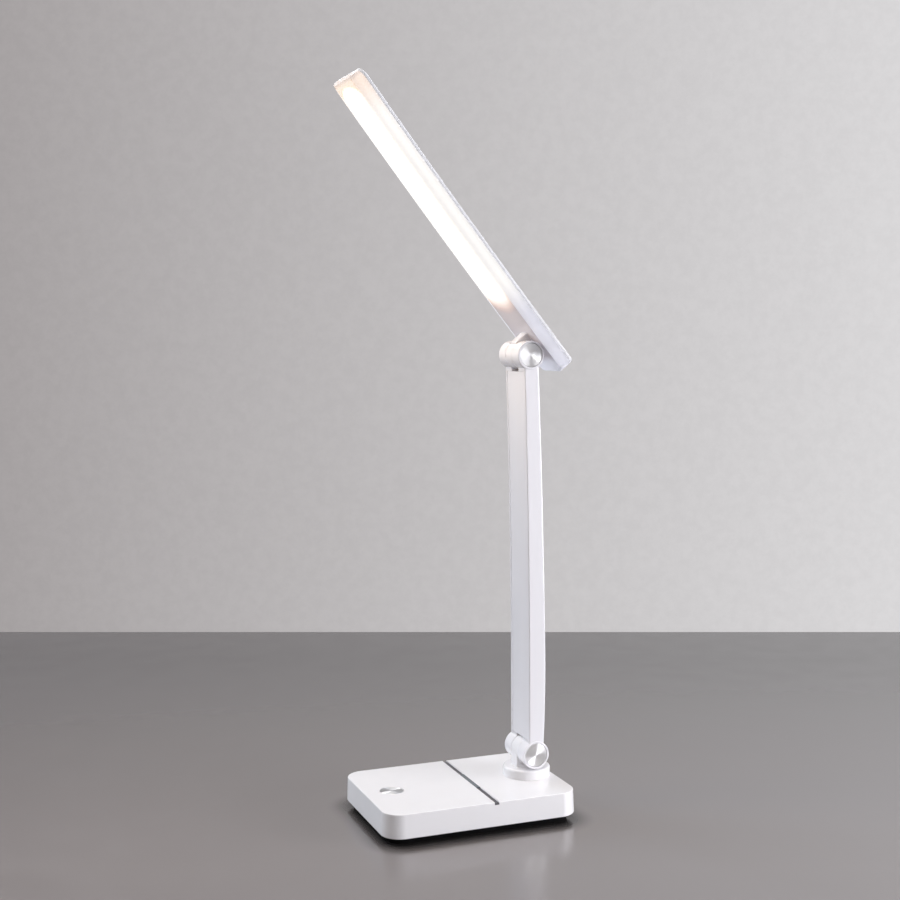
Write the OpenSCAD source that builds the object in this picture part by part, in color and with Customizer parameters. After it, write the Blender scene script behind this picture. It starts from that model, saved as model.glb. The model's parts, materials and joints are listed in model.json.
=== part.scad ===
// Folding desk lamp: a flat base with a touch button, a turntable, a folding arm
// and a folding light panel. Millimetres, +Z up.
// The origin is the middle of the mat that rests on the table; the arm stands
// towards +X and the light panel leans towards -X.

/* [Base] */
// Length of the base along X
base_l = 126; // [116:1:150]
// Width of the base along Y
base_w = 88; // [76:1:110]
// Height of the base's top above the table
base_h = 19; // [18:0.5:24]
// Radius of the base's upright corners
base_corner = 12.5; // [8:0.5:18]
// Rounding of the base's top edge
base_edge = 1; // [0.4:0.1:1.5]
// Wall thickness of the white base shell
shell_wall = 2; // [1.6:0.1:2.6]
// Height of the shell's lower rim above the table
rim_z = 4.2; // [3.8:0.1:5]
// How far the black bottom cover stands in from the shell's side
sole_inset = 1.8; // [1:0.1:3]
// Thickness of the bottom cover's floor
floor_t = 2; // [1.6:0.1:2.4]
// Thickness of the anti-slip mat
mat_t = 1.2; // [0.8:0.1:1.5]

/* [Groove and button] */
// Distance of the cross groove from the middle, along X
groove_x = 7.1; // [0:0.1:12]
// Width of the cross groove
groove_w = 3; // [2:0.1:3.5]
// Depth of the cross groove
groove_d = 1.6; // [1.5:0.1:2]
// Thickness of the dark strip in the groove
strip_t = 1; // [0.6:0.1:1]
// Length of the raised indicator bar on the strip
bar_l = 27; // [15:1:50]
// Distance of the touch button from the base's -X end
button_in = 18.4; // [16:0.1:24]
// Radius of the touch button
button_r = 7.3; // [6:0.1:9]
// Thickness of the touch button
button_t = 0.9; // [0.7:0.1:1.1]

/* [Turntable] */
// Distance of the turntable's axis from the base's +X end
pivot_in = 16.9; // [16.5:0.1:20]
// Radius of the turntable disc
disc_r = 14.9; // [12:0.1:16]
// Height of the turntable disc above the base
disc_h = 6.2; // [5:0.1:6.5]
// Rounding of the disc's top edge
disc_edge = 1.6; // [0.5:0.1:2.5]
// Radius of the turntable's hollow spigot
spigot_r = 4.9; // [4.5:0.1:5.5]

/* [Hinges] */
// Height of the lower hinge's axis above the base's top
hinge_rise = 16; // [15.5:0.1:18]
// Radius of the hinge barrels
barrel_r = 8.8; // [8.2:0.1:9]
// Length of the hinge barrels
barrel_l = 29.2; // [26:0.1:34]
// Width of the middle knuckle of each hinge
knuckle_w = 9.3; // [8:0.1:11]
// Gap between a knuckle and the ear beside it
knuckle_gap = 0.3; // [0.2:0.05:0.4]
// Radius of the hinge pins
pin_r = 2.5; // [2:0.1:2.8]
// Running clearance of a pin in its knuckle
pin_fit = 0.05; // [0.02:0.01:0.1]
// Radius of the spun metal caps
cap_r = 7.4; // [7:0.1:7.8]
// Thickness of the caps
cap_t = 1.1; // [0.8:0.1:1.3]

/* [Arm] */
// Length of the arm between its two hinge axes
arm_l = 250; // [200:1:320]
// Width of the arm along Y
arm_w = 28.6; // [26:0.1:32]
// Lean of the arm from upright, towards -X, in degrees
arm_lean = 1.1; // [0:0.1:10]
// Distance of the arm's front face from the hinge line
arm_front = 4.5; // [4:0.1:5]
// How far the front face is hollowed at mid length
arm_hollow = 1.1; // [0:0.1:1.5]
// Distance of the arm's back face from the hinge line, at its ends
arm_back = 5.2; // [4.8:0.1:6]
// How far the back face swells out at its knee
arm_knee = 2; // [0:0.1:3]
// Place of the knee, as a share of the arm's length from below
arm_knee_at = 0.28; // [0.2:0.01:0.5]
// Wall thickness of the arm channel
arm_wall = 2; // [1.6:0.1:2.4]
// Thickness of the arm's front cover
cover_t = 1.6; // [1.2:0.1:2]

/* [Light panel] */
// Angle of the panel above the horizontal, in degrees
head_tilt = 51.1; // [0:0.1:85]
// Reach of the panel's tip from the upper hinge axis
head_reach = 196.6; // [150:0.5:210]
// Reach of the panel's other end behind the hinge axis
head_heel = 22; // [19:0.5:26]
// Width of the panel
head_w = 54; // [48:0.5:64]
// Distance of the panel's back face from the hinge axis
head_back = 15.3; // [15.1:0.1:15.5]
// Height of the panel's side wall
head_side = 2.2; // [2:0.1:2.5]
// Thickness of the housing's back skin and side wall
head_skin = 1.2; // [1:0.1:1.3]
// Corner radius at the panel's tip
tip_corner = 7; // [4:0.5:12]
// Corner radius at the panel's hinge end
heel_corner = 4.5; // [2:0.5:8]
// How far the slanting corners at the hinge end reach along the panel
heel_slant = 5.6; // [4:0.1:8]
// Length of the straight edge between the slanting corners
heel_flat = 20.8; // [16:0.1:28]
// Depth of the diffuser below the side wall
lens_d = 3.6; // [3.2:0.1:3.8]
// Width of the bevel along each long side of the diffuser
lens_bevel = 11; // [8:0.5:12]
// Wall thickness of the diffuser
lens_wall = 1.2; // [1:0.1:1.4]
// How far the neck's front face lies from the hinge axis
neck_front = 9.7; // [9:0.1:11]
// Distance from the hinge axis to the first lamp chip
lit_from = 38; // [34:1:60]

/* [Hidden] */

// Small overrun of cuts and overlaps of joined forms
over = 0.2;
// Clearance between pieces that are put together and stay still
seat = 0.1;
round_fn = 64;

// Base, worked out
roof_z = base_h - shell_wall;
floor_z = mat_t + floor_t;
groove_z = base_h - groove_d;
rib_t = 1.5;
rib_w = groove_w + 4;
lip_t = 1.2;
lip_h = 2;
lip_gap = 0.2;
post_r = 3.2;
post_in = 13;
screw_r = 1.15;
screw_head_r = 2.4;
screw_head_t = 1.2;
screw_l = 10;
screw_end = 1;
recess_l = 2.6;
recess_w = 0.6;
recess_d = 0.6;
post_xy = [base_l/2 - post_in, base_w/2 - post_in];

// Control board, under the touch button and reaching the inlet in the rear wall
board_t = 1.6;
board_z = base_h - 7;
board_w = 28;
board_front = -18;
board_gap = 1;
board_rear = base_w/2 - shell_wall - board_gap;
board_post_r = 2;
board_post_in = 4;
post_room = 0.4;
button_x = button_in - base_l/2;
part_in = 5;
main_chip = [5, 6, 1.4];
touch_chip = [4, 3, 1.6];
capacitor_r = 2;
capacitor_h = 2.4;
connector = [4.5, 6, 2.2];
touch_hole_r = 3.6;
spring_r = 2.5;
spring_wire_r = 0.3;
spring_turns = 4;

// Socket in the base's rear wall
inlet_w = 9;
inlet_h = 3.2;
inlet_l = 7.4;
inlet_skin = 0.3;
inlet_back = 1;
tongue_w = 6.6;
tongue_t = 0.7;
inlet_x = button_x + 4;
inlet_z = board_z + board_t + inlet_h/2;
inlet_y = base_w/2 - 0.6;

// Weight plate with the battery on it
plate_in_front = 41;
plate_in_back = 29;
plate_side = 13;
plate_x0 = plate_in_front - base_l/2;
plate_x1 = base_l/2 - plate_in_back;
plate_w = base_w - 2*plate_side;
plate_t = 3.5;
plate_corner = 3;
battery_l = 50;
battery_w = 38;
battery_t = 6;

// Turntable and its fastening under the roof
disc_gap = 0.25;
disc_z0 = base_h + disc_gap;
disc_z1 = base_h + disc_h;
spigot_fit = 0.08;
spigot_wall = 1.7;
spigot_bore_r = spigot_r - spigot_wall;
pivot_x = base_l/2 - pivot_in;
boss_r = 9;
boss_t = 1.8;
boss_z = roof_z - boss_t;
ring_gap = 0.05;
ring_t = 0.5;
nut_t = 2;
nut_r = 8;
nut_z = boss_z - ring_gap - ring_t - nut_t;
key_slot = 2;
spigot_end = 0.4;
spigot_z = nut_z - spigot_end;

// Hinges, seen from the knuckle outwards
hinge_z = base_h + hinge_rise;
ear_in = knuckle_w/2 + knuckle_gap;
ear_out = barrel_l/2;
cap_sink = 0.25;
cap_seat = ear_out - cap_sink - cap_t;
cap_gap = 0.1;
cap_bevel = 0.3;
bolt_head_r = 4.2;
bolt_head_t = 2.6;
bolt_slot_w = 1;
bolt_slot_l = 6;
bolt_slot_d = 1;
bolt_end = 0.4;
nut_flat_r = 4.6;
hex_t = 3;
pocket_t = 3.4;
washer_r = 6;
washer_t = 0.5;
washer_sink = 0.35;
knuckle_room = 0.4;
web_depth = barrel_r + 2*knuckle_room;
neck_depth = neck_front + knuckle_room;

// Arm, worked out
cover_sink = 0.2;
cover_gap = 0.15;
ledge_w = 1;
cover_low = barrel_r + 0.2;
cover_high = barrel_r + 1.1;
cover_seat = 2.4;
arm_steps = 24;
cavity_half = arm_w/2 - arm_wall - ledge_w;
cover_half = arm_w/2 - arm_wall - cover_gap;
rib_d = 1.2;

// Light panel, worked out; the panel's own frame has its tip towards -X
rim_o = head_back - head_side;
flat_o = rim_o - lens_d;
skin_o = head_back - head_skin;
lens_edge = 0.3;
corner_steps = 10;
lens_taper = 1.5;
lens_lip_t = 1;
lens_ledge = 4;
neck_back = 6;
neck_slot = 0.3;
neck_pad_t = 1.6;
neck_pad_o = skin_o - neck_pad_t;
neck_pad_w = 24;
neck_pad_front = 24;
neck_pad_back = 13;
neck_pad_corner = 3;
small_screw_r = 1;
small_head_r = 1.9;
small_head_t = 0.8;
small_screw_in = 3;
small_recess = 0.7;
led_strip_w = 20;
led_strip_t = 1;
strip_over = 4.5;
lit_end = 10;
lit_to = head_reach - lit_end;
chip_rows = 2;
chip_row_gap = 9;
chips_in_row = 16;
chip = [3.5, 2.8, 0.7];
sheet_t = 0.4;
lens_lip_h = head_side - head_skin - sheet_t - seat;
sheet_in = head_skin + 1.4;

// Leads
lead_r = 0.7;
lead_room = 0.5;
lead_off = 4.2;
lead_o = (flat_o + lens_wall + neck_pad_o)/2;

// ---------------------------------------------------------------- helpers

// Flat outline of a rectangle with round corners
module plate2d(l, w, r) {
    square([l - 2*r, w], center = true);
    square([l, w - 2*r], center = true);
    for (sx = [-1, 1], sy = [-1, 1])
        translate([sx*(l/2 - r), sy*(w/2 - r)])
            circle(r, $fn = round_fn);
}

// Upright plate with round corners, from z0 to z1
module plate(l, w, r, z0, z1)
    translate([0, 0, z0])
        linear_extrude(z1 - z0)
            plate2d(l, w, r);

// The same with its top edge rounded by e
module soft_plate(l, w, r, z0, z1, e)
    hull() {
        plate(l, w, r, z0, z1 - e);
        for (a = [30, 60, 90])
            plate(l - 2*e*(1 - cos(a)), w - 2*e*(1 - cos(a)), r - e*(1 - cos(a)),
                z0, z1 - e*(1 - sin(a)));
    }

// Cylinder along Y between y0 and y1, on an axis through [x, z]
module rod_y(r, y0, y1, x = 0, z = 0, fn = round_fn)
    translate([x, y1, z])
        rotate([90, 0, 0])
            cylinder(r = r, h = y1 - y0, $fn = fn);

// Tube with flat ends along a list of points
function unit(v) = v/norm(v);
function run_at(p, i) =
    unit(p[min(i + 1, len(p) - 1)] - p[max(i - 1, 0)]);
function side_of(t) = unit(cross(t, abs(t.y) > 0.9 ? [1, 0, 0] : [0, 1, 0]));
function ring_at(c, t, r, n) = let (u = side_of(t), v = cross(t, u))
    [for (k = [0:n - 1]) c + r*(u*cos(360*k/n) + v*sin(360*k/n))];
module wire(p, r, n = 8) {
    m = len(p);
    polyhedron(
        points = [for (i = [0:m - 1]) each ring_at(p[i], run_at(p, i), r, n)],
        faces = concat(
            [[for (k = [0:n - 1]) k]],
            [for (i = [0:m - 2], k = [0:n - 1])
                [i*n + k, (i + 1)*n + k, (i + 1)*n + (k + 1)%n, i*n + (k + 1)%n]],
            [[for (k = [n - 1:-1:0]) (m - 1)*n + k]]));
}

// Frames of the moving groups
module arm_frame()
    translate([pivot_x, 0, hinge_z])
        rotate([0, -arm_lean, 0])
            children();

module upper_hinge_frame()
    arm_frame()
        translate([0, 0, arm_l])
            children();

module head_frame()
    translate([pivot_x - arm_l*sin(arm_lean), 0, hinge_z + arm_l*cos(arm_lean)])
        rotate([0, head_tilt, 0])
            children();

// ---------------------------------------------------------------- base

module anti_slip_mat()
    color("#17171a")
        plate(base_l - 4*sole_inset, base_w - 4*sole_inset,
            base_corner - 2*sole_inset, 0, mat_t);

module base_cover()
    color("#1b1b1e")
        difference() {
            union() {
                difference() {
                    union() {
                        plate(base_l - 2*sole_inset, base_w - 2*sole_inset,
                            base_corner - sole_inset, mat_t, rim_z);
                        cover_lip(rim_z - over, rim_z + lip_h, 0);
                    }
                    cover_lip(floor_z, rim_z + lip_h + over, lip_t);
                }
                board_posts();
            }
            for (sx = [-1, 1], sy = [-1, 1])
                translate([sx*post_xy.x, sy*post_xy.y, 0]) {
                    cylinder(r = screw_r + seat, h = base_h, $fn = 24);
                    cylinder(r = screw_head_r + seat, h = mat_t + screw_head_t, $fn = 32);
                }
        }

module cover_lip(z0, z1, inset)
    plate(base_l - 2*(shell_wall + lip_gap + inset), base_w - 2*(shell_wall + lip_gap + inset),
        base_corner - shell_wall - lip_gap - inset, z0, z1);

module board_posts()
    for (sx = [-1, 1], y = [board_front + board_post_in, post_xy.y - 2*board_post_in])
        translate([button_x + sx*(board_w/2 - board_post_in), y, floor_z - over])
            cylinder(r = board_post_r, h = board_z - floor_z + over, $fn = 32);

module base_shell()
    color("#f4f2f3")
        difference() {
            union() {
                difference() {
                    soft_plate(base_l, base_w, base_corner, rim_z, base_h, base_edge);
                    plate(base_l - 2*shell_wall, base_w - 2*shell_wall,
                        base_corner - shell_wall, rim_z - over, roof_z);
                }
                translate([groove_x - rib_w/2, over - base_w/2 + shell_wall/2, roof_z - rib_t])
                    cube([rib_w, base_w - shell_wall - 2*over, rib_t + over]);
                translate([pivot_x, 0, boss_z])
                    cylinder(r = boss_r, h = boss_t + over, $fn = round_fn);
                for (sx = [-1, 1], sy = [-1, 1])
                    translate([sx*post_xy.x, sy*post_xy.y, floor_z])
                        cylinder(r = post_r, h = roof_z - floor_z + over, $fn = 32);
            }
            translate([groove_x - groove_w/2, -base_w, groove_z])
                cube([groove_w, 2*base_w, groove_d + over]);
            translate([button_x, 0, base_h - button_t])
                cylinder(r = button_r + seat, h = button_t + over, $fn = round_fn);
            translate([button_x, 0, roof_z - over])
                cylinder(r = touch_hole_r, h = shell_wall + 2*over, $fn = round_fn);
            translate([pivot_x, 0, boss_z - over])
                cylinder(r = spigot_r + spigot_fit, h = boss_t + shell_wall + 2*over,
                    $fn = round_fn);
            for (sx = [-1, 1], sy = [-1, 1])
                translate([sx*post_xy.x, sy*post_xy.y, floor_z - over])
                    cylinder(r = screw_r, h = screw_l + over, $fn = 24);
            inlet_form(seat, inlet_y - inlet_l, base_w);
        }

module base_screws()
    color("#8d8f93")
        for (sx = [-1, 1], sy = [-1, 1])
            translate([sx*post_xy.x, sy*post_xy.y, mat_t]) {
                difference() {
                    cylinder(r = screw_head_r, h = screw_head_t, $fn = 32);
                    cross_recess();
                }
                translate([0, 0, screw_head_t - over])
                    cylinder(r = screw_r,
                        h = screw_l + floor_t - screw_head_t - screw_end + over, $fn = 24);
            }

// Cross-shaped driver recess in a screw head that faces down
module cross_recess()
    for (a = [0, 90])
        rotate([0, 0, a])
            translate([-recess_l/2, -recess_w/2, -over])
                cube([recess_l, recess_w, recess_d + over]);

module weight_plate()
    color("#777a80")
        translate([(plate_x0 + plate_x1)/2, 0, floor_z])
            linear_extrude(plate_t)
                plate2d(plate_x1 - plate_x0, plate_w, plate_corner);

module battery_pack()
    color("#3f6fb0")
        translate([(plate_x0 + plate_x1)/2, 0, floor_z + plate_t])
            linear_extrude(battery_t)
                plate2d(battery_l, battery_w, plate_corner);

module control_board()
    color("#1f6b3a")
        difference() {
            intersection() {
                translate([button_x - board_w/2, board_front, board_z])
                    cube([board_w, board_rear - board_front, board_t]);
                plate(base_l - 2*(shell_wall + board_gap), base_w - 2*(shell_wall + board_gap),
                    base_corner - shell_wall - board_gap, 0, base_h);
            }
            translate([-post_xy.x, post_xy.y, 0])
                cylinder(r = post_r + post_room, h = base_h, $fn = 32);
        }

// Two chips, two capacitors and the battery connector on the control board
module board_parts()
    color("#26272a")
        translate([button_x, 0, board_z + board_t]) {
            translate([-board_w/2 + part_in, button_r, 0]) cube(main_chip);
            translate([-board_w/2 + part_in, board_front + part_in, 0]) cube(touch_chip);
            for (x = [1, 7])
                translate([x, board_front + part_in, 0])
                    cylinder(r = capacitor_r, h = capacitor_h, $fn = 32);
            translate([board_w/2 - connector.x - 1.5, 16, 0]) cube(connector);
        }

// Stadium-shaped sleeve of the socket, grown by g, between y0 and y1
module inlet_form(g, y0, y1)
    translate([inlet_x, y1, inlet_z])
        rotate([90, 0, 0])
            linear_extrude(y1 - y0)
                plate2d(inlet_w + 2*g, inlet_h + 2*g, (inlet_h/2 + g)*0.98);

module power_inlet()
    color("#b9bcc2")
        difference() {
            inlet_form(0, inlet_y - inlet_l, inlet_y);
            inlet_form(-inlet_skin, inlet_y - inlet_l + inlet_back, inlet_y + over);
        }

module inlet_tongue()
    color("#141416")
        translate([inlet_x - tongue_w/2, inlet_y - inlet_l + inlet_back,
            inlet_z - tongue_t/2])
            cube([tongue_w, inlet_l - 2*inlet_back, tongue_t]);

module touch_button()
    color("#c9cbcf")
        translate([button_x, 0, base_h - button_t])
            cylinder(r = button_r, h = button_t + 0.1, $fn = round_fn);

// Contact spring between the control board and the touch button
module touch_spring()
    color("#c4a052") {
        z0 = board_z + board_t + spring_wire_r;
        z1 = base_h - button_t - spring_wire_r;
        steps = spring_turns*18;
        wire([for (i = [0:steps])
            [button_x + spring_r*cos(i*20), spring_r*sin(i*20), z0 + (z1 - z0)*i/steps]],
            spring_wire_r, 6);
    }

module groove_strip()
    color("#55535a")
        translate([groove_x - groove_w/2 + seat/2, base_edge - base_w/2, groove_z])
            cube([groove_w - seat, base_w - 2*base_edge, strip_t]);

module indicator_bar()
    color("#7d838c")
        translate([groove_x - groove_w/2 + seat/2, -bar_l/2, groove_z + strip_t])
            cube([groove_w - seat, bar_l, groove_d - strip_t - seat]);

// Lead from the control board to the hollow of the turntable's spigot
module base_lead()
    color("#c43a33")
        wire([[button_x + 9, 24, board_z + board_t + lead_r],
            [button_x + 16, 24.5, board_z + board_t + lead_r],
            [plate_x0 - 1, 24, board_z - 1],
            [plate_x0 + 6, 23.5, board_z - 2],
            [plate_x1 - 8, 23.5, board_z - 2],
            [plate_x1, 20, board_z - 2.2],
            [pivot_x - 4, 8, board_z - 2.5],
            [pivot_x - 0.4, 2, board_z - 2.3],
            [pivot_x, 0, board_z - 1.5],
            [pivot_x, 0, spigot_z - over]], lead_r);

// ---------------------------------------------------------------- turntable

module turntable()
    color("#f2f0f1")
        difference() {
            union() {
                translate([pivot_x, 0, disc_z0])
                    disc_form();
                translate([pivot_x, 0, spigot_z])
                    cylinder(r = spigot_r, h = disc_z0 - spigot_z + over, $fn = round_fn);
                translate([pivot_x - barrel_r, -knuckle_w/2, disc_z1 - over])
                    cube([2*barrel_r, knuckle_w, hinge_z - disc_z1 + over]);
                rod_y(barrel_r, -knuckle_w/2, knuckle_w/2, pivot_x, hinge_z);
            }
            rod_y(pin_r + pin_fit, -knuckle_w, knuckle_w, pivot_x, hinge_z);
            translate([pivot_x, 0, spigot_z - over])
                cylinder(r = spigot_bore_r, h = disc_z0 - spigot_z + 2, $fn = 32);
            lead_duct([pivot_x, 0, disc_z0], [pivot_x + lead_off, 0, hinge_z - 7]);
            lead_duct([pivot_x + lead_off, 0, hinge_z - 7.5],
                [pivot_x + lead_off, 0, hinge_z + barrel_r]);
        }

// Turned disc with a rounded top edge
module disc_form() {
    h = disc_z1 - disc_z0;
    rotate_extrude($fn = round_fn) {
        square([disc_r, h - disc_edge]);
        square([disc_r - disc_edge, h]);
        translate([disc_r - disc_edge, h - disc_edge])
            intersection() {
                circle(disc_edge, $fn = 32);
                square(disc_edge);
            }
    }
}

// Round duct for a lead between two points in the XZ plane
module lead_duct(a, b) {
    d = b - a;
    translate(a)
        rotate([0, atan2(d.x, d.z), 0])
            cylinder(r = lead_r + lead_room, h = norm(d), $fn = 24);
}

module turntable_washer()
    color("#9a9ca1")
        translate([pivot_x, 0, nut_z + nut_t])
            difference() {
                cylinder(r = nut_r - 0.4, h = ring_t, $fn = round_fn);
                translate([0, 0, -over])
                    cylinder(r = spigot_r + seat/2, h = ring_t + 2*over, $fn = round_fn);
            }

// Ring nut that holds the spigot under the roof, with two slots for its key
module turntable_nut()
    color("#8b8e94")
        translate([pivot_x, 0, nut_z])
            difference() {
                cylinder(r = nut_r, h = nut_t, $fn = round_fn);
                translate([0, 0, -over])
                    cylinder(r = spigot_r, h = nut_t + 2*over, $fn = round_fn);
                for (s = [-1, 1])
                    translate([s*nut_r - key_slot/2, -key_slot/2, -over])
                        cube([key_slot, key_slot, key_slot/2]);
            }

module turntable_lead()
    color("#c43a33")
        wire([[pivot_x, 0, spigot_z],
            [pivot_x, 0, disc_z0 - 1.5],
            [pivot_x + 0.6, 0, disc_z0 + 0.8],
            [pivot_x + lead_off - 0.5, 0, hinge_z - 7.7],
            [pivot_x + lead_off, 0, hinge_z - 6.2],
            [pivot_x + lead_off, 0, hinge_z + 6]], lead_r);

// ---------------------------------------------------------------- arm
// The arm's own frame has the lower hinge axis at its origin and +Z along the arm.

function share(z) = z/arm_l;
function front_x(z) = -arm_front + arm_hollow*sin(180*share(z));
function knee(t) = t < arm_knee_at ? t/arm_knee_at : (1 - t)/(1 - arm_knee_at);
function back_x(z) = arm_back + arm_knee*sin(90*pow(knee(share(z)), 0.85));
function span_z(z0, z1) = [for (i = [0:arm_steps]) z0 + (z1 - z0)*i/arm_steps];

// Side profile of the arm between z0 and z1, its faces moved in by f and b
module arm_side(z0, z1, f, b, half)
    rotate([90, 0, 0])
        translate([0, 0, -half])
            linear_extrude(2*half)
                polygon(concat(
                    [for (z = span_z(z0, z1)) [front_x(z) + f, z]],
                    [for (z = span_z(z1, z0)) [back_x(z) - b, z]]));

// Side profile of a layer behind the front face, from f to f + t deep
module arm_front_layer(z0, z1, f, t, half)
    rotate([90, 0, 0])
        translate([0, 0, -half])
            linear_extrude(2*half)
                polygon(concat(
                    [for (z = span_z(z0, z1)) [front_x(z) + f, z]],
                    [for (z = span_z(z1, z0)) [front_x(z) + f + t, z]]));

// Both ears of a fork, and what is cut from them, at height z
module ears(z)
    for (s = [-1, 1])
        rod_y(barrel_r, min(s*ear_in, s*ear_out), max(s*ear_in, s*ear_out), 0, z);

module ear_cuts(z) {
    rod_y(pin_r, -ear_out, ear_out, 0, z);
    for (s = [-1, 1]) {
        rod_y(cap_r + cap_gap, min(s*cap_seat, s*(ear_out + over)),
            max(s*cap_seat, s*(ear_out + over)), 0, z);
        rod_y(washer_r + seat, min(s*(ear_in - over), s*(ear_in + washer_sink)),
            max(s*(ear_in - over), s*(ear_in + washer_sink)), 0, z);
    }
    rod_y(bolt_head_r + seat, -cap_seat - over, pocket_t - cap_seat, 0, z);
    hex_y(nut_flat_r + seat, cap_seat - pocket_t, cap_seat + over, z);
}

// Six-sided bar along Y
module hex_y(r, y0, y1, z)
    translate([0, y1, z])
        rotate([90, 30, 0])
            cylinder(r = r, h = y1 - y0, $fn = 6);

// Room for a knuckle between the ears, with the arm towards +Z. It is deeper on the
// front side, where the web or the neck swings in.
module fork_slot(depth) {
    rod_y(barrel_r + knuckle_room, -ear_in, ear_in);
    translate([-2*barrel_r, -ear_in, -2*barrel_r])
        cube([4*barrel_r, 2*ear_in, 2*barrel_r]);
    translate([-2*barrel_r, -ear_in, -over])
        cube([2*barrel_r, 2*ear_in, depth + over]);
}

module fork_slots() {
    fork_slot(web_depth);
    translate([0, 0, arm_l])
        mirror([0, 0, 1])
            fork_slot(neck_depth);
}

module arm_channel()
    color("#efeef1")
        arm_frame()
            difference() {
                union() {
                    arm_side(0, arm_l, 0, 0, arm_w/2);
                    ears(0);
                    ears(arm_l);
                }
                arm_side(cover_low + cover_seat, arm_l - cover_high - cover_seat, cover_t,
                    arm_wall, cavity_half);
                arm_front_layer(cover_low, arm_l - cover_high, -over,
                    cover_t + cover_sink + over, cover_half + cover_gap);
                fork_slots();
                ear_cuts(0);
                ear_cuts(arm_l);
            }

module arm_cover()
    color("#f1f0f3")
        arm_frame()
            difference() {
                union() {
                    arm_front_layer(cover_low + cover_gap, arm_l - cover_high - cover_gap,
                        cover_sink, cover_t, cover_half);
                    for (s = [-1, 1])
                        translate([0, s*(cavity_half - rib_d), 0])
                            arm_front_layer(cover_low + 2*cover_seat,
                                arm_l - cover_high - 2*cover_seat,
                                cover_sink + cover_t - over, rib_d + over, rib_d/2);
                }
                fork_slots();
            }

module arm_lead()
    color("#c43a33")
        arm_frame()
            wire([for (z = span_z(web_depth + cover_seat, arm_l - neck_depth - cover_seat))
                [back_x(z) - arm_wall - lead_r - 0.15, 0, z]], lead_r);

// Hinge hardware in the frame of its hinge, axis along Y
module hinge_pin()
    color("#a9acb1") {
        rod_y(pin_r, -cap_seat + bolt_end, cap_seat - bolt_end);
        difference() {
            rod_y(bolt_head_r, -cap_seat + bolt_end, -cap_seat + bolt_end + bolt_head_t);
            translate([-bolt_slot_l/2, -cap_seat, -bolt_slot_w/2])
                cube([bolt_slot_l, bolt_end + bolt_slot_d, bolt_slot_w]);
        }
    }

module hinge_nut()
    color("#9a9da3")
        difference() {
            hex_y(nut_flat_r, cap_seat - pocket_t, cap_seat - pocket_t + hex_t, 0);
            rod_y(pin_r, 0, ear_out);
        }

module hinge_washers()
    color("#b5b7ba")
        for (s = [-1, 1]) {
            y0 = ear_in + washer_sink - washer_t;
            y1 = ear_in + washer_sink;
            difference() {
                rod_y(washer_r, min(s*y0, s*y1), max(s*y0, s*y1));
                rod_y(pin_r, -ear_out, ear_out);
            }
        }

// Spun cap: a disc with a fine bevel round its face
module hinge_cap(s)
    color("#cfd1d4")
        rotate([-90*s, 0, 0])
            translate([0, 0, cap_seat])
                rotate_extrude($fn = round_fn)
                    polygon([[0, 0], [cap_r, 0], [cap_r, cap_t - cap_bevel],
                        [cap_r - cap_bevel, cap_t], [0, cap_t]]);

module lower_pin() arm_frame() hinge_pin();
module lower_nut() arm_frame() hinge_nut();
module lower_washers() arm_frame() hinge_washers();
module lower_cap_front() arm_frame() hinge_cap(-1);
module lower_cap_rear() arm_frame() hinge_cap(1);
module upper_pin() upper_hinge_frame() hinge_pin();
module upper_nut() upper_hinge_frame() hinge_nut();
module upper_washers() upper_hinge_frame() hinge_washers();
module upper_cap_front() upper_hinge_frame() hinge_cap(-1);
module upper_cap_rear() upper_hinge_frame() hinge_cap(1);

// ---------------------------------------------------------------- light panel

module head_neck()
    color("#efeef1")
        head_frame()
            difference() {
                union() {
                    rod_y(barrel_r, -knuckle_w/2, knuckle_w/2);
                    translate([-neck_front, -knuckle_w/2, 0])
                        cube([neck_front + neck_back, knuckle_w, neck_pad_o + over]);
                    translate([(neck_pad_back - neck_pad_front)/2, 0, neck_pad_o])
                        linear_extrude(neck_pad_t)
                            plate2d(neck_pad_back + neck_pad_front, neck_pad_w,
                                neck_pad_corner);
                }
                rod_y(pin_r + pin_fit, -knuckle_w, knuckle_w);
                lead_duct([lead_off, 0, -barrel_r], [lead_off, 0, neck_pad_o]);
                translate([-neck_front - over, -lead_r - lead_room, lead_o - lead_r - seat])
                    cube([neck_front + lead_off + over, 2*(lead_r + lead_room),
                        neck_pad_o - lead_o + lead_r + seat]);
                for (p = neck_screw_places())
                    translate([p.x, p.y, neck_pad_o - over])
                        cylinder(r = small_screw_r + seat, h = neck_pad_t + 2*over,
                            $fn = 24);
            }

function neck_screw_places() = [
    for (x = [small_screw_in - neck_pad_front, neck_pad_back - small_screw_in], s = [-1, 1])
        [x, s*(neck_pad_w/2 - small_screw_in)]];

// Small screw through a sheet of thickness t, its head down, sheet face at z = 0
module small_screw(t) {
    translate([0, 0, -small_head_t])
        difference() {
            cylinder(r = small_head_r, h = small_head_t, $fn = 32);
            scale(small_recess)
                cross_recess();
        }
    translate([0, 0, -over])
        cylinder(r = small_screw_r, h = t + over, $fn = 24);
}

module neck_screws()
    color("#8d8f93")
        head_frame()
            for (p = neck_screw_places())
                translate([p.x, p.y, neck_pad_o])
                    small_screw(neck_pad_t);

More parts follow.
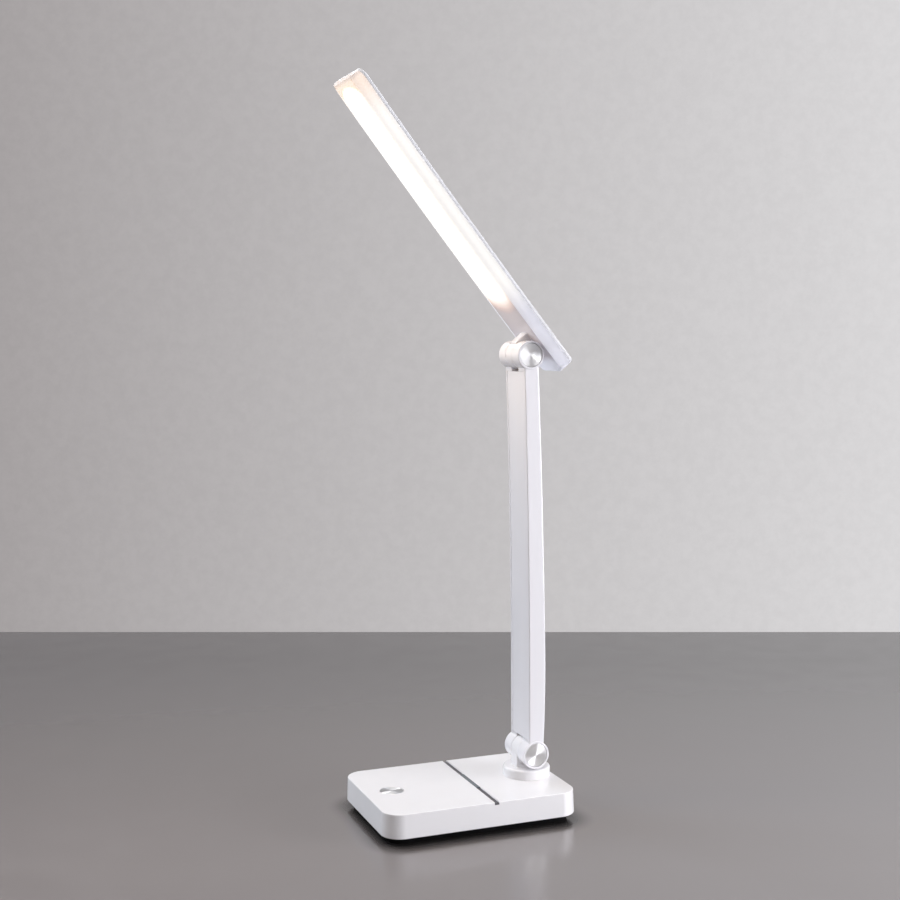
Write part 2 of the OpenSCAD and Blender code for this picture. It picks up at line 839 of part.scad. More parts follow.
// Outline of the panel seen from above, moved in by i all round
module head_outline(i) {
    x0 = -head_reach + i;
    x1 = head_heel - i;
    h = head_w/2 - i;
    rt = max(tip_corner - i, 0.5);
    rh = max(heel_corner - i, 0.5);
    // direction of the slanting corner, then where it meets the side and the end
    slant = [heel_slant, (heel_flat - head_w)/2]/norm([heel_slant, (heel_flat - head_w)/2]);
    side_x = head_heel - heel_slant + i*(1 - slant.x)/slant.y;
    end_y = heel_flat/2 - i*(1 + slant.y)/slant.x;
    arc_x = side_x - rh*(slant.x - 1)/slant.y;
    half = concat(
        [for (k = [0:corner_steps])
            let (a = 180 - 90*k/corner_steps)
                [x0 + rt + rt*cos(a), h - rt + rt*sin(a)]],
        [for (k = [0:corner_steps])
            let (a = 90 - acos(slant.x)*k/corner_steps)
                [arc_x + rh*cos(a), h - rh + rh*sin(a)]],
        [[x1, end_y]]);
    polygon(concat(half, [for (k = [len(half) - 1:-1:0]) [half[k].x, -half[k].y]]));
}

// Slice of the panel's outline from o0 to o1 above the hinge axis
module head_slice(i, o0, o1)
    translate([0, 0, o0])
        linear_extrude(o1 - o0)
            head_outline(i);

module head_housing()
    color("#f3f2f4")
        head_frame()
            difference() {
                head_slice(0, rim_o, head_back);
                head_slice(head_skin, rim_o - over, skin_o);
            }

// Bevelled tray of the diffuser, moved in by i all round
module lens_form(i) {
    o0 = flat_o + i;
    o1 = rim_o + i;
    wide = head_w/2 - lens_edge - i;
    flat = wide - lens_bevel;
    tip = -head_reach + lens_edge + i;
    heel = head_heel - lens_edge - i;
    intersection() {
        head_slice(lens_edge + i, o0, o1);
        translate([-2*head_reach, 0, 0])
            rotate([90, 0, 90])
                linear_extrude(4*head_reach)
                    polygon([[-wide, o1], [-flat, o0], [flat, o0], [wide, o1]]);
        rotate([90, 0, 0])
            translate([0, 0, -head_w])
                linear_extrude(2*head_w)
                    polygon([[tip, o1], [tip + lens_taper, o0], [heel - lens_taper, o0],
                        [heel, o1]]);
    }
}

module head_diffuser()
    color("#ece6ea")
        head_frame()
            difference() {
                union() {
                    lens_form(0);
                    head_slice(head_skin + seat, rim_o - over, rim_o + lens_lip_h);
                }
                lens_form(lens_wall);
                head_slice(head_skin + seat + lens_lip_t + lens_ledge,
                    rim_o - over - lens_wall/2, rim_o + lens_lip_h + over);
                translate([-neck_front - neck_slot, -knuckle_w/2 - neck_slot, flat_o - over])
                    cube([neck_front + neck_back + 2*neck_slot, knuckle_w + 2*neck_slot,
                        lens_d]);
            }

module reflector_sheet()
    color("#fafafa")
        head_frame()
            difference() {
                head_slice(sheet_in, skin_o - sheet_t, skin_o);
                translate([-lit_to - strip_over - seat, -led_strip_w/2 - seat, 0])
                    cube([lit_to - lit_from + 2*(strip_over + seat), led_strip_w + 2*seat,
                        2*head_back]);
                translate([-neck_pad_front - seat, -neck_pad_w/2 - seat, 0])
                    cube([neck_pad_front + 2*neck_pad_back, neck_pad_w + 2*seat, 2*head_back]);
            }

module led_board()
    color("#dcdee0")
        head_frame()
            difference() {
                translate([-lit_to - strip_over, -led_strip_w/2, skin_o - led_strip_t])
                    cube([lit_to - lit_from + 2*strip_over, led_strip_w, led_strip_t]);
                for (x = board_screw_places())
                    translate([x, 0, 0])
                        cylinder(r = small_screw_r + seat, h = 2*head_back, $fn = 24);
            }

function board_screw_places() = [for (t = [0.03, 0.5, 0.97])
    -lit_from - (lit_to - lit_from)*t];

module board_screws()
    color("#8d8f93")
        head_frame()
            for (x = board_screw_places())
                translate([x, 0, skin_o - led_strip_t])
                    small_screw(led_strip_t);

module led_chips()
    color("#f3d98a")
        head_frame()
            for (i = [0:chips_in_row - 1], s = [-1, 1])
                translate([-lit_from - (lit_to - lit_from)*i/(chips_in_row - 1) - chip.x/2,
                    s*chip_row_gap/chip_rows - chip.y/2, skin_o - led_strip_t - chip.z])
                    cube(chip);

module head_lead()
    color("#c43a33")
        head_frame()
            wire([[lead_off, 0, -6],
                [lead_off, 0, lead_o - 1.4],
                [lead_off - 0.4, 0, lead_o - 0.4],
                [lead_off - 1.4, 0, lead_o],
                [-neck_front - 4, 0, lead_o],
                [-neck_pad_front - 2, 0, lead_o],
                [-neck_pad_front - 5, 0, skin_o - led_strip_t - lead_r],
                [-lit_from + 1, 0, skin_o - led_strip_t - lead_r]], lead_r);

// ---------------------------------------------------------------- the lamp

anti_slip_mat();
base_cover();
base_shell();
base_screws();
weight_plate();
battery_pack();
control_board();
board_parts();
power_inlet();
inlet_tongue();
touch_button();
touch_spring();
groove_strip();
indicator_bar();
base_lead();
turntable();
turntable_washer();
turntable_nut();
turntable_lead();
arm_channel();
arm_cover();
arm_lead();
lower_pin();
lower_nut();
lower_washers();
lower_cap_front();
lower_cap_rear();
upper_pin();
upper_nut();
upper_washers();
upper_cap_front();
upper_cap_rear();
head_neck();
neck_screws();
head_housing();
head_diffuser();
reflector_sheet();
led_board();
led_chips();
board_screws();
head_lead();
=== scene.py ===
import bpy, bmesh, json, math
from mathutils import Matrix, Vector


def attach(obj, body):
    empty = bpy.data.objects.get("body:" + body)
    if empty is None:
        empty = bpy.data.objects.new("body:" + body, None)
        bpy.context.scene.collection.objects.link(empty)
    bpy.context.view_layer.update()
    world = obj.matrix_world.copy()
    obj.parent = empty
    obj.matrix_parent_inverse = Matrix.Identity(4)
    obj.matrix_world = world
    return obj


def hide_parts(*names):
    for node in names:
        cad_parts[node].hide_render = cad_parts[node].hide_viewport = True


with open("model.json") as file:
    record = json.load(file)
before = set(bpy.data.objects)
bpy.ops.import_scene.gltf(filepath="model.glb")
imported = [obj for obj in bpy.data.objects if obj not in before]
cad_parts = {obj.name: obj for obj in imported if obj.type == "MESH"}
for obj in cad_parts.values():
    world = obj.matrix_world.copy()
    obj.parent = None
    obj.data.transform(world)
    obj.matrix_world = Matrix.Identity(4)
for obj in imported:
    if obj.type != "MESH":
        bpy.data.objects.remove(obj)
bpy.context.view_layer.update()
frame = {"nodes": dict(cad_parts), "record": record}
scene = bpy.context.scene
nodes = frame["nodes"]
MM = 0.001

# ------------------------------------------------------------------ camera
CAM = Vector((-0.3124, -0.7760, 0.2964))
FWD = Vector((0.3657, 0.9268, -0.0826)).normalized()
RIGHT = FWD.cross(Vector((0, 0, 1))).normalized()
UP = RIGHT.cross(FWD)
FOCAL_PX = 1371.49

cam_data = bpy.data.cameras.new("camera")
cam_data.sensor_width = 36
cam_data.lens = FOCAL_PX * 36 / 900
cam_data.clip_start, cam_data.clip_end = 0.01, 50
cam = bpy.data.objects.new("camera", cam_data)
cam.matrix_world = Matrix.Translation(CAM) @ Matrix((RIGHT, UP, -FWD)).transposed().to_4x4()
scene.collection.objects.link(cam)
scene.camera = cam
scene.view_settings.view_transform = "Standard"

# ------------------------------------------------------------------ sizes, mm, as in the CAD
BASE_L, BASE_W, BASE_H, BASE_R = 126, 88, 19, 12.5
RIM_Z, EDGE, WALL = 4.2, 0.55, 2.0
DRAFT_LOW, DRAFT_HIGH = 0.3, 0.95
GROOVE_X, GROOVE_W, GROOVE_D = 7.1, 3.0, 1.6
BUTTON_X, BUTTON_R = -44.6, 7.3
PIVOT_X, HINGE_Z = 46.1, 35.0
DISC_R, DISC_Z0, DISC_Z1 = 14.9, 19.1, 25.2
BARREL_R, KNUCKLE, EAR_IN, EAR_OUT = 8.8, 9.3, 4.95, 14.6
CAP_R, CAP_T, CAP_SEAT = 7.4, 1.1, 13.25
ARM_L, ARM_W, LEAN = 250.0, 28.6, 1.1
TILT, REACH, HEEL, HEAD_W = 51.1, 196.6, 22.0, 54.0
BACK_O, RIM_O, FLAT_O = 15.3, 13.1, 9.5
BOW = 0.5
LENS_IN = 0.12
WIDE = HEAD_W / 2 - LENS_IN
BEVEL, TAPER = 11.0, 0.75
FLAT = WIDE - BEVEL

ARM = Matrix.Translation((PIVOT_X, 0, HINGE_Z)) @ Matrix.Rotation(math.radians(-LEAN), 4, "Y")
TOP = ARM @ Matrix.Translation((0, 0, ARM_L))
HEAD = (Matrix.Translation(TOP.translation)
        @ Matrix.Rotation(math.radians(TILT), 4, "Y"))
WORLD = Matrix.Identity(4)


# ------------------------------------------------------------------ node helpers
class Tree:
    """A material's nodes, built with short calls."""

    def __init__(self, name):
        self.mat = bpy.data.materials.new(name)
        self.mat.use_nodes = True
        self.nodes, self.links = self.mat.node_tree.nodes, self.mat.node_tree.links
        self.nodes.clear()
        self.out = self.nodes.new("ShaderNodeOutputMaterial")

    def add(self, kind, **props):
        n = self.nodes.new("ShaderNode" + kind)
        for k, v in props.items():
            setattr(n, k, v)
        return n

    def put(self, value, socket):
        if isinstance(value, bpy.types.NodeSocket):
            self.links.new(value, socket)
        else:
            socket.default_value = value

    def math(self, op, a, b=0.0, c=0.0):
        n = self.add("Math", operation=op)
        for v, s in zip((a, b, c), n.inputs):
            self.put(v, s)
        return n.outputs[0]

    def remap(self, v, a, b, lo=0.0, hi=1.0, smooth=True):
        n = self.add("MapRange", interpolation_type="SMOOTHSTEP" if smooth else "LINEAR")
        for x, s in zip((v, a, b, lo, hi), n.inputs):
            self.put(x, s)
        return n.outputs[0]

    def mix(self, f, a, b, mode="MIX"):
        n = self.add("Mix", data_type="RGBA", blend_type=mode)
        self.put(f, n.inputs[0])
        for x, s in ((a, n.inputs[6]), (b, n.inputs[7])):
            self.put((*x, 1) if isinstance(x, tuple) and len(x) == 3 else x, s)
        return n.outputs[2]

    def place(self, scale=(1, 1, 1), kind="Object"):
        c = self.add("TexCoord")
        m = self.add("Mapping")
        m.inputs["Scale"].default_value = scale
        self.links.new(c.outputs[kind], m.inputs[0])
        return m.outputs[0]

    def noise(self, scale, detail=3.0, rough=0.5, at=None, stretch=(1, 1, 1)):
        n = self.add("TexNoise")
        self.links.new(at or self.place(stretch), n.inputs["Vector"])
        n.inputs["Scale"].default_value = scale
        n.inputs["Detail"].default_value = detail
        n.inputs["Roughness"].default_value = rough
        return n.outputs["Fac"]

    def bump(self, height, strength, distance, normal=None):
        n = self.add("Bump")
        n.inputs["Strength"].default_value = strength
        n.inputs["Distance"].default_value = distance
        self.links.new(height, n.inputs["Height"])
        if normal:
            self.links.new(normal, n.inputs["Normal"])
        return n.outputs[0]

    def principled(self, **values):
        n = self.add("BsdfPrincipled")
        for k, v in values.items():
            k = k.replace("_", " ")
            if isinstance(v, tuple) and len(v) == 3:
                v = (*v, 1)
            self.put(v, n.inputs[k])
        self.links.new(n.outputs[0], self.out.inputs[0])
        return n


def shade(c, k):
    return tuple(min(1.0, x * k) for x in c)


# ------------------------------------------------------------------ materials
def plastic(name, color, rough=0.2, coat=0.35, grain=0.02, ripple=0.05, shine=0.5):
    """Moulded plastic: faint flow marks in the colour, uneven gloss, a little orange peel."""
    t = Tree(name)
    flow = t.noise(14, 3, 0.55, stretch=(1, 1, 0.35))
    speck = t.noise(900, 2, 0.6)
    col = t.mix(flow, shade(color, 1 - grain), shade(color, 1 + grain))
    rub = t.noise(60, 4, 0.65)
    r = t.remap(t.math("ADD", t.math("MULTIPLY", rub, 0.8), t.math("MULTIPLY", speck, 0.2)),
                0.3, 0.7, rough * 0.8, rough * 1.3)
    peel = t.bump(t.noise(420, 2, 0.5), ripple, 0.0002)
    t.principled(Base_Color=col, Roughness=r, Normal=peel, Specular_IOR_Level=shine,
                 Coat_Weight=coat, Coat_Roughness=0.06)
    return t.mat


def spun(name, color, rough=0.33, rings=5200.0, axis="Y"):
    """Turned metal face: fine rings round the axis, anisotropic gloss and a few deeper cuts."""
    t = Tree(name)
    at = t.add("TexCoord").outputs["Generated"]
    s = t.add("SeparateXYZ")
    t.links.new(at, s.inputs[0])
    keep = [0, 2] if axis == "Y" else [0, 1]
    u, v = (t.math("SUBTRACT", s.outputs[i], 0.5) for i in keep)
    rad = t.math("SQRT", t.math("ADD", t.math("MULTIPLY", u, u), t.math("MULTIPLY", v, v)))
    ringpos = t.add("CombineXYZ")
    t.links.new(t.math("MULTIPLY", rad, 90.0), ringpos.inputs[0])
    fine = t.add("TexNoise", noise_dimensions="1D")
    t.links.new(t.math("MULTIPLY", rad, 1.0), fine.inputs["W"])
    fine.inputs["Scale"].default_value = 150
    fine.inputs["Detail"].default_value = 4
    fine.inputs["Roughness"].default_value = 0.75
    coarse = t.add("TexNoise", noise_dimensions="1D")
    t.links.new(rad, coarse.inputs["W"])
    coarse.inputs["Scale"].default_value = 22
    coarse.inputs["Detail"].default_value = 2
    scuff = t.noise(500, 3, 0.6)
    mixd = t.math("ADD", t.math("MULTIPLY", fine.outputs["Fac"], 0.65),
                  t.math("MULTIPLY", coarse.outputs["Fac"], 0.35))
    col = t.mix(mixd, shade(color, 0.84), shade(color, 1.1))
    r = t.remap(t.math("ADD", t.math("MULTIPLY", mixd, 0.7), t.math("MULTIPLY", scuff, 0.3)),
                0.3, 0.7, rough * 0.8, rough * 1.25)
    tan = t.add("Tangent", direction_type="RADIAL", axis=axis)
    t.principled(Base_Color=col, Metallic=1.0, Roughness=r, Anisotropic=1.0,
                 Anisotropic_Rotation=0.25, Tangent=tan.outputs[0],
                 Normal=t.bump(mixd, 0.12, 0.00002))
    return t.mat


def metal(name, color, rough=0.3, stretch=(1, 1, 12), patina=0.1):
    """Plated or rolled metal: drawn streaks and uneven gloss."""
    t = Tree(name)
    streak = t.noise(120, 4, 0.6, stretch=stretch)
    cloud = t.noise(35, 3, 0.5)
    col = t.mix(t.remap(cloud, 0.3, 0.7), shade(color, 1 - patina), shade(color, 1 + patina / 2))
    r = t.remap(streak, 0.3, 0.7, rough * 0.75, rough * 1.3)
    t.principled(Base_Color=col, Metallic=1.0, Roughness=r,
                 Normal=t.bump(streak, 0.1, 0.00003))
    return t.mat


def rubber(name, color, scale=1400, rough=0.75, depth=0.00012):
    """Matt rubber or textured plastic: fine cells and dusty patches."""
    t = Tree(name)
    cell = t.add("TexVoronoi")
    t.links.new(t.place(), cell.inputs["Vector"])
    cell.inputs["Scale"].default_value = scale
    dust = t.noise(45, 4, 0.6)
    col = t.mix(t.remap(dust, 0.42, 0.75), color, shade(tuple(c + 0.004 for c in color), 1.25))
    r = t.remap(dust, 0.3, 0.7, rough * 0.9, min(1.0, rough * 1.15))
    t.principled(Base_Color=col, Roughness=r, Specular_IOR_Level=0.08,
                 Normal=t.bump(cell.outputs["Distance"], 0.35, depth))
    return t.mat


def board(name, mask, trace):
    """Circuit board: solder mask over fine copper runs."""
    t = Tree(name)
    brick = t.add("TexBrick")
    t.links.new(t.place((1, 1, 1)), brick.inputs["Vector"])
    brick.inputs["Scale"].default_value = 260
    brick.inputs["Mortar Size"].default_value = 0.06
    brick.inputs["Color1"].default_value = (1, 1, 1, 1)
    brick.inputs["Color2"].default_value = (0.8, 0.8, 0.8, 1)
    brick.inputs["Mortar"].default_value = (0, 0, 0, 1)
    cloud = t.noise(60, 3)
    col = t.mix(brick.outputs["Fac"], t.mix(cloud, mask, shade(mask, 1.3)), trace)
    t.principled(Base_Color=col, Roughness=t.remap(cloud, 0.3, 0.7, 0.25, 0.4),
                 Normal=t.bump(brick.outputs["Fac"], 0.2, 0.00005), Coat_Weight=0.4)
    return t.mat


def glow(name, body):
    """Milky diffuser. UV holds the place on the panel in decimetres: u along from the hinge,
    v across. The lamp's light shines through its flat middle, dies away through warm tones at
    both ends, and spills into the sloping sides. Painted light is laid on as well: a cool glow
    over the sloping sides, and a cool glow round the neck's tab and at the heel end past the
    hinge that brightens the shade there."""
    t = Tree(name)
    uv = t.add("UVMap", uv_map="panel")
    s = t.add("SeparateXYZ")
    t.links.new(uv.outputs[0], s.inputs[0])
    along = t.math("MULTIPLY", s.outputs[0], 100.0)
    across = t.math("ABSOLUTE", t.math("MULTIPLY", s.outputs[1], 100.0))
    wander = t.math("MULTIPLY", t.math("SUBTRACT", t.noise(55, 2), 0.5), 1.6)
    a = t.math("ADD", along, wander)
    ends = t.math("MULTIPLY", t.math("POWER", t.math("DIVIDE", across, FLAT), 2.0), 4.5)
    inner, outer = t.math("SUBTRACT", a, ends), t.math("ADD", a, ends)

    def scaled(f, color):
        return t.mix(f, (0, 0, 0), color)

    def added(x, y):
        return t.mix(1.0, x, y, "ADD")

    def tinted(f, x, color):
        return t.mix(f, x, color, "MULTIPLY")

    fringe = t.add("CombineColor")
    warm_ends = ((23.5, 193.5, 0.55), (24.7, 192.5, 0.43), (25.6, 192.0, 0.28))
    for (heel, tip, rest), sock in zip(warm_ends, fringe.inputs):
        low = t.remap(inner, heel, heel + 15.5, 0.0, 0.8)
        t.links.new(t.math("MULTIPLY", low, t.remap(outer, tip - 5, tip, 1.0, rest)), sock)
    core = t.math("MULTIPLY", t.remap(inner, 38, 52), t.remap(outer, 184, 192, 1.0, 0.0))
    core = t.math("MULTIPLY", core, t.remap(across, 5, 13, 1.0, 0.0))
    flat = tinted(t.remap(across, 11, FLAT + 0.5), fringe.outputs[0], (0.8, 0.7, 0.58))
    flat = added(flat, scaled(core, (9.0, 7.0, 5.0)))
    # painted light: a faint cool glow on the flat round the neck's tab brightens the shade there
    slot = t.remap(t.math("ABSOLUTE", t.math("ADD", along, 0.5)), 3, 8, 1.0, 0.0)
    flat = added(flat, scaled(slot, (0.05, 0.055, 0.065)))
    flat = added(flat, scaled(t.remap(inner, 4, 28), (0.085, 0.06, 0.04)))
    # painted light: a cool glow on the flat at the heel end, past the hinge, brightens the shade
    # there
    flat = added(flat, scaled(t.remap(along, -14, -8, 1.0, 0.0), (0.14, 0.17, 0.2)))
    # the sloping sides: warm glow spilled from the lit middle, on top of a cool painted light
    side = added(scaled(t.remap(a, 21, 50), (0.28, 0.26, 0.16)), (0.41, 0.44, 0.51))
    side = tinted(t.remap(along, 165, 193), side, (0.92, 0.74, 0.62))
    # the sides' glow, spill and painted light alike, dims a little towards the crease and the rim
    crown = t.math("MULTIPLY", t.remap(across, 18, 21.5, 0.86, 1.0),
                   t.remap(across, 22.5, 27, 1.0, 0.88))
    both = t.mix(t.remap(across, FLAT - 0.9, FLAT + 0.9), flat, scaled(crown, side))
    both = scaled(t.remap(along, 192.5, 196, 1.0, 0.45), both)
    cloud = t.noise(30, 3)
    col = t.mix(cloud, shade(body, 0.98), shade(body, 1.02))
    t.principled(Base_Color=col, Roughness=t.remap(t.noise(70, 3), 0.3, 0.7, 0.09, 0.12),
                 Emission_Color=both, Emission_Strength=1.0,
                 Normal=t.bump(t.noise(380, 2), 0.001, 0.0002))
    return t.mat


WHITE = (0.87, 0.855, 0.87)
M = {
    "white": plastic("white plastic", WHITE),
    "shell": plastic("shell plastic", (0.79, 0.79, 0.82), 0.5, 0.0, ripple=0.004, shine=0.15),
    "arm": plastic("arm plastic", (0.865, 0.85, 0.88)),
    "black": rubber("black plastic", (0.004, 0.004, 0.0045), 1800, 0.7, 0.00006),
    "mat": rubber("mat rubber", (0.004, 0.004, 0.0045), 700, 0.9, 0.0003),
    "strip": plastic("dark strip", (0.085, 0.08, 0.09), 0.4, 0.0, 0.05),
    "smoke": plastic("smoked bar", (0.11, 0.13, 0.145), 0.2, 0.3, 0.05),
    "cap": spun("spun caps", (0.91, 0.91, 0.915), 0.38),
    "button": spun("spun button", (0.74, 0.75, 0.77), 0.36, axis="Z"),
    "steel": metal("zinc steel", (0.56, 0.57, 0.59)),
    "plate": metal("mill steel", (0.36, 0.365, 0.38), 0.45, (1, 8, 1), 0.2),
    "inlet": metal("drawn steel", (0.72, 0.73, 0.75), 0.2, (1, 10, 1)),
    "brass": metal("plated brass", (0.75, 0.57, 0.26), 0.25),
    "pcb": board("solder mask", (0.012, 0.09, 0.035), (0.03, 0.17, 0.06)),
    "chip": plastic("moulded black", (0.02, 0.02, 0.022), 0.5, 0.0, 0.1),
    "wrap": plastic("shrink wrap", (0.035, 0.11, 0.33), 0.3, 0.3, 0.12),
    "lead": plastic("lead red", (0.42, 0.03, 0.025), 0.45, 0.0, 0.06),
    "diffuser": glow("milky diffuser", (0.80, 0.765, 0.81)),
    "sheet": plastic("reflector sheet", (0.9, 0.9, 0.9), 0.6, 0.0),
    "ledboard": board("white board", (0.78, 0.79, 0.79), (0.6, 0.6, 0.58)),
    "phosphor": rubber("phosphor", (0.85, 0.62, 0.2), 5000, 0.6, 0.00002),
}
BY_SLOT = {
    "white_gloss": "white", "black_plastic": "black", "mat_rubber": "mat", "steel": "steel",
    "spun_aluminium": "cap", "button_metal": "button", "groove_dark": "strip",
    "indicator_smoke": "smoke", "circuit_green": "pcb", "component_black": "chip",
    "battery_wrap": "wrap", "spring_brass": "brass", "inlet_steel": "inlet",
    "lead_red": "lead", "diffuser_milk": "diffuser", "reflector_white": "sheet",
    "led_board_metal": "ledboard", "led_phosphor": "phosphor"}
for part in frame["record"]["subparts"]:
    ob = nodes[part["node"]]
    mat = M["plate"] if part["node"] == "weight_plate" else M[BY_SLOT[part["material_slot"]]]
    ob.data.materials.clear()
    ob.data.materials.append(mat)


# ------------------------------------------------------------------ mesh helpers
def piece(name, verts, faces, mat, body, stands_for=(), slot=None, at=WORLD, angle=34, uv=None):
    """New piece from points in mm in the frame `at`."""
    me = bpy.data.meshes.new(name)
    me.from_pydata([at @ Vector(v) * 1 if at is WORLD else at @ Vector(v) for v in verts],
                   [], faces)
    me.transform(Matrix.Scale(MM, 4))
    bm = bmesh.new()
    bm.from_mesh(me)
    bmesh.ops.remove_doubles(bm, verts=bm.verts, dist=1e-7)
    bmesh.ops.recalc_face_normals(bm, faces=bm.faces)
    bm.to_mesh(me)
    bm.free()
    if uv:
        layer = me.uv_layers.new(name="panel")
        inv = (Matrix.Scale(MM, 4) @ at).inverted()
        for loop in me.loops:
            layer.data[loop.index].uv = uv(inv @ me.vertices[loop.vertex_index].co)
    ob = bpy.data.objects.new(name, me)
    scene.collection.objects.link(ob)
    me.materials.append(mat)
    smooth(ob, angle)
    if body:
        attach(ob, body)
    if stands_for:
        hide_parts(*stands_for)
    return ob


def smooth(ob, angle=34):
    for p in ob.data.polygons:
        p.use_smooth = True
    ob.data.set_sharp_from_angle(angle=math.radians(angle))


def applied(ob):
    """Bakes the modifiers into the mesh."""
    dg = bpy.context.evaluated_depsgraph_get()
    me = bpy.data.meshes.new_from_object(ob.evaluated_get(dg))
    ob.modifiers.clear()
    old, ob.data = ob.data, me
    bpy.data.meshes.remove(old)


def combine(ob, other, how="DIFFERENCE"):
    """Boolean with another object, which is used up."""
    m = ob.modifiers.new("cut", "BOOLEAN")
    m.object, m.operation, m.solver = other, how, "EXACT"
    applied(ob)
    bpy.data.objects.remove(other)


def soften(ob, width, limit=40, segments=3):
    """Small rounding on every edge sharper than limit, flat faces kept flat in shading."""
    b = ob.modifiers.new("soft edge", "BEVEL")
    b.width, b.segments, b.limit_method = width * MM, segments, "ANGLE"
    b.angle_limit = math.radians(limit)
    b.miter_outer = "MITER_ARC"
    w = ob.modifiers.new("weighted", "WEIGHTED_NORMAL")
    w.keep_sharp = True


def loft(rings, closed=False):
    """Quads between rings of as many points each, with end caps unless closed on itself."""
    n, m = len(rings[0]), len(rings)
    verts = [p for r in rings for p in r]
    span = m if closed else m - 1
    faces = [(i * n + j, i * n + (j + 1) % n, (i + 1) % m * n + (j + 1) % n, (i + 1) % m * n + j)
             for i in range(span) for j in range(n)]
    if not closed:
        faces += [tuple(range(n))[::-1], tuple(range((m - 1) * n, m * n))]
    return verts, faces


def arc(cx, cy, r, a0, a1, n):
    return [(cx + r * math.cos(math.radians(a0 + (a1 - a0) * i / n)),
             cy + r * math.sin(math.radians(a0 + (a1 - a0) * i / n))) for i in range(n + 1)]


def round_rect(l, w, r, n=14):
    pts = []
    for sx, sy, a in ((1, 1, 0), (-1, 1, 90), (-1, -1, 180), (1, -1, 270)):
        pts += arc(sx * (l / 2 - r), sy * (w / 2 - r), r, a, a + 90, n)
    return pts


def turned(profile, n=96, axis="Y", centre=(0, 0, 0)):
    """Solid of revolution from (radius, height) points that run from axis to axis."""
    rings = []
    for r, h in profile:
        ring = []
        for k in range(n):
            c, s = r * math.cos(2 * math.pi * k / n), r * math.sin(2 * math.pi * k / n)
            p = (c, h, s) if axis == "Y" else (c, s, h)
            ring.append(tuple(a + b for a, b in zip(p, centre)))
        rings.append(ring)
    return loft(rings)


def fillet(r, h, e, up=1, n=5):
    """Profile points of a rounded outer edge of radius e at radius r and height h."""
    return [(r - e + e * math.cos(math.radians(90 * i / n)),
             h - up * e + up * e * math.sin(math.radians(90 * i / n))) for i in range(n + 1)]


def cutter(verts, faces, at=WORLD):
    return piece("cutter", verts, faces, M["white"], None, at=at)


def block(x0, x1, y0, y1, z0, z1):
    return loft([[(x0, y0, z), (x1, y0, z), (x1, y1, z), (x0, y1, z)] for z in (z0, z1)])


# ------------------------------------------------------------------ base
def base_ring(inset, z):
    """Outline of the base at height z, moved in by inset. The front and both ends have a
    little draft, and the rear wall with the inlet is upright."""
    d = inset + DRAFT_LOW + (DRAFT_HIGH - DRAFT_LOW) * (z - RIM_Z) / (BASE_H - RIM_Z)
    return [(x, y + (d - inset) / 2, z)
            for x, y in round_rect(BASE_L - 2 * d, BASE_W - d - inset, BASE_R - d, 16)]


foot = 0.8
rings = [base_ring(WALL, RIM_Z)]
rings += [base_ring(foot - foot * math.sin(math.radians(22.5 * i)),
                    RIM_Z + foot - foot * math.cos(math.radians(22.5 * i))) for i in range(5)]
rings += [base_ring(EDGE - EDGE * math.cos(math.radians(15 * i)),
                    BASE_H - EDGE + EDGE * math.sin(math.radians(15 * i))) for i in range(7)]
outer = len(rings)
inner = [base_ring(WALL, RIM_Z), base_ring(WALL, BASE_H - 2.6)]
n = len(rings[0])
verts, faces = loft(rings)
faces = [f for f in faces if len(f) == 4]
faces.append(tuple(range((outer - 1) * n, outer * n)))
top = len(verts)
verts += inner[1]
faces += [(j, top + j, top + (j + 1) % n, (j + 1) % n) for j in range(n)]
faces.append(tuple(range(top, top + n)))
shell = piece("shell", verts, faces, M["white"], None)
combine(shell, cutter(*block(GROOVE_X - GROOVE_W / 2, GROOVE_X + GROOVE_W / 2, -60, 60,
                             BASE_H - GROOVE_D, 30)))
combine(shell, cutter(*turned([(BUTTON_R + 0.1, BASE_H - 0.9), (BUTTON_R + 0.1, 30)], 128, "Z",
                              (BUTTON_X, 0, 0))))
combine(shell, cutter(*turned([(4.98, 10), (4.98, 30)], 64, "Z", (PIVOT_X, 0, 0))))
hole = [(p[0] - 40.6, p[1] + 15.2) for p in round_rect(9.2, 3.4, 1.65, 8)]
combine(shell, cutter(*loft([[(x, y, z) for x, z in hole] for y in (38, 50)])))
smooth(shell)
shell.name = "shell"
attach(shell, "base")
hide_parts("base_shell")
soften(shell, 0.22)


def sole_ring(inset, z):
    return [(x, y, z) for x, y in round_rect(BASE_L - 2 * inset, BASE_W - 2 * inset,
                                             BASE_R - inset / 2, 14)]


# the cover under the base narrows towards the mat
piece("bottom_cover", *loft([sole_ring(4.2, 1.2), sole_ring(4.0, 1.25), sole_ring(3.0, RIM_Z),
                             sole_ring(2.9, RIM_Z + 2)]),
      M["black"], "base", ("base_cover",), "black_plastic")
piece("foot_mat", *loft([sole_ring(5.4, 0), sole_ring(5.0, 0.25), sole_ring(4.8, 1.25)]),
      M["mat"], "base", ("anti_slip_mat",), "mat_rubber")
for k in ("indicator_bar", "groove_strip", "weight_plate", "battery_pack"):
    soften(nodes[k], 0.2)

prof = [(BUTTON_R - 0.15, BASE_H - 0.85), (BUTTON_R, BASE_H - 0.7)]
prof += fillet(BUTTON_R, BASE_H + 0.1, 0.45)
piece("button", *turned(prof, 96, "Z", (BUTTON_X, 0, 0)), M["button"], "base",
      ("touch_button",), "button_metal", angle=50)

